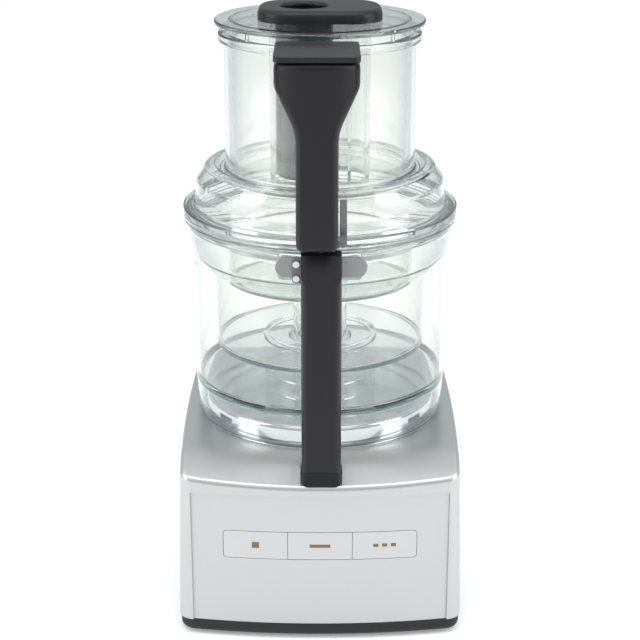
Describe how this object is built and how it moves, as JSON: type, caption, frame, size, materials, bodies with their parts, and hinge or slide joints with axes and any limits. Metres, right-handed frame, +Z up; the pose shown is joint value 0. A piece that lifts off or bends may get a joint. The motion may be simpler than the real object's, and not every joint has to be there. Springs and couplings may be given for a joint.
{
  "type": "food processor",
  "caption": "Countertop food processor: boxy motor base with push buttons, nested clear bowls, domed lid with wide feed tube, oval-capped pushers and upright handles.",
  "frame": {"origin": "the spindle's axis where it meets the table", "axes": "+Z up, the front with the buttons and handles faces -Y, +X to the right seen from the front"},
  "size_m": [0.2094, 0.266, 0.4451],
  "materials": {
    "housing": "satin silver lacquer",
    "seat": "bright silver lacquer",
    "tray": "fine grain",
    "rubber": "matt",
    "steel": "turned",
    "cast_aluminium": "as cast",
    "laminations": "stacked plates",
    "copper": "varnished copper wire",
    "electrical": "moulded",
    "circuit_board": "resin board",
    "clear": "clear moulded plastic with a green edge",
    "handle_gray": "satin dark gray",
    "handle_black": "satin black"
  },
  "bodies": {
    "base": {"motor_housing": "housing", "base_tray": "tray", "foot_front_left": "rubber", "foot_back_left": "rubber", "foot_front_right": "rubber", "foot_back_right": "rubber", "tray_screws": "steel", "bowl_seat": "seat", "seat_screws": "steel", "shaft_seal": "rubber", "motor_lower_bell": "cast_aluminium", "motor_upper_bell": "cast_aluminium", "motor_stator": "laminations", "stator_windings": "copper", "motor_bolts": "steel", "motor_nuts": "steel", "rubber_mounts": "rubber", "mount_screws": "steel", "lower_bearing": "steel", "upper_bearing": "steel", "run_capacitor": "electrical", "capacitor_clip": "steel", "control_board": "circuit_board", "board_screws": "steel", "stop_switch": "electrical", "auto_switch": "electrical", "pulse_switch": "electrical", "cord_gland": "tray", "terminal_block": "electrical", "interlock_switch": "electrical"},
    "rotor": {"spindle": "steel", "spindle_circlip": "steel", "rotor_core": "laminations", "cooling_fan": "cast_aluminium"},
    "stop_button": {"stop_button": "housing"},
    "auto_button": {"auto_button": "housing"},
    "pulse_button": {"pulse_button": "housing"},
    "main_bowl": {"main_bowl": "clear", "handle_bracket": "handle_gray", "handle_clamp": "handle_gray", "handle_screws": "steel", "bowl_handle_cover": "handle_gray", "bowl_handle_core": "handle_black", "rod_spring": "steel"},
    "interlock_rod": {"interlock_rod": "handle_black"},
    "midi_bowl": {"midi_bowl": "clear"},
    "mini_bowl": {"mini_bowl": "clear"},
    "lid": {"lid": "clear", "lid_handle": "handle_gray", "lid_handle_plate": "handle_gray", "lid_handle_screws": "steel", "lid_lock_tab": "handle_gray"},
    "large_pusher": {"large_pusher": "clear", "pusher_chute": "clear"},
    "small_pusher": {"small_pusher": "handle_gray", "pusher_cap": "handle_gray"}
  },
  "joints": [
    {"name": "spindle_spin", "type": "hinge", "parent": "base", "child": "rotor", "pos_m": [0, 0, 0.15], "axis": [0, 0, 1], "continuous": true},
    {"name": "stop_press", "type": "slide", "parent": "base", "child": "stop_button", "axis": [0, 1, 0], "range_m": [0, 0.0015], "stiffness_N_per_m": 400},
    {"name": "auto_press", "type": "slide", "parent": "base", "child": "auto_button", "axis": [0, 1, 0], "range_m": [0, 0.0015], "stiffness_N_per_m": 400},
    {"name": "pulse_press", "type": "slide", "parent": "base", "child": "pulse_button", "axis": [0, 1, 0], "range_m": [0, 0.0015], "stiffness_N_per_m": 400},
    {"name": "main_bowl_lift", "type": "slide", "parent": "base", "child": "main_bowl", "axis": [0, 0, 1], "range_m": [0, 0.155]},
    {"name": "interlock_press", "type": "slide", "parent": "main_bowl", "child": "interlock_rod", "axis": [0, 0, -1], "range_m": [0, 0.0015], "stiffness_N_per_m": 500, "deforming": ["rod_spring"]},
    {"name": "midi_bowl_lift", "type": "slide", "parent": "main_bowl", "child": "midi_bowl", "axis": [0, 0, 1], "range_m": [0, 0.11]},
    {"name": "mini_bowl_lift", "type": "slide", "parent": "midi_bowl", "child": "mini_bowl", "axis": [0, 0, 1], "range_m": [0, 0.06]},
    {"name": "lid_lift", "type": "slide", "parent": "mini_bowl", "child": "lid", "axis": [0, 0, 1], "range_m": [0, 0.06]},
    {"name": "large_pusher_lift", "type": "slide", "parent": "lid", "child": "large_pusher", "axis": [0, 0, 1], "range_m": [0, 0.11]},
    {"name": "small_pusher_lift", "type": "slide", "parent": "large_pusher", "child": "small_pusher", "axis": [0, 0, 1], "range_m": [0, 0.11]}
  ]
}
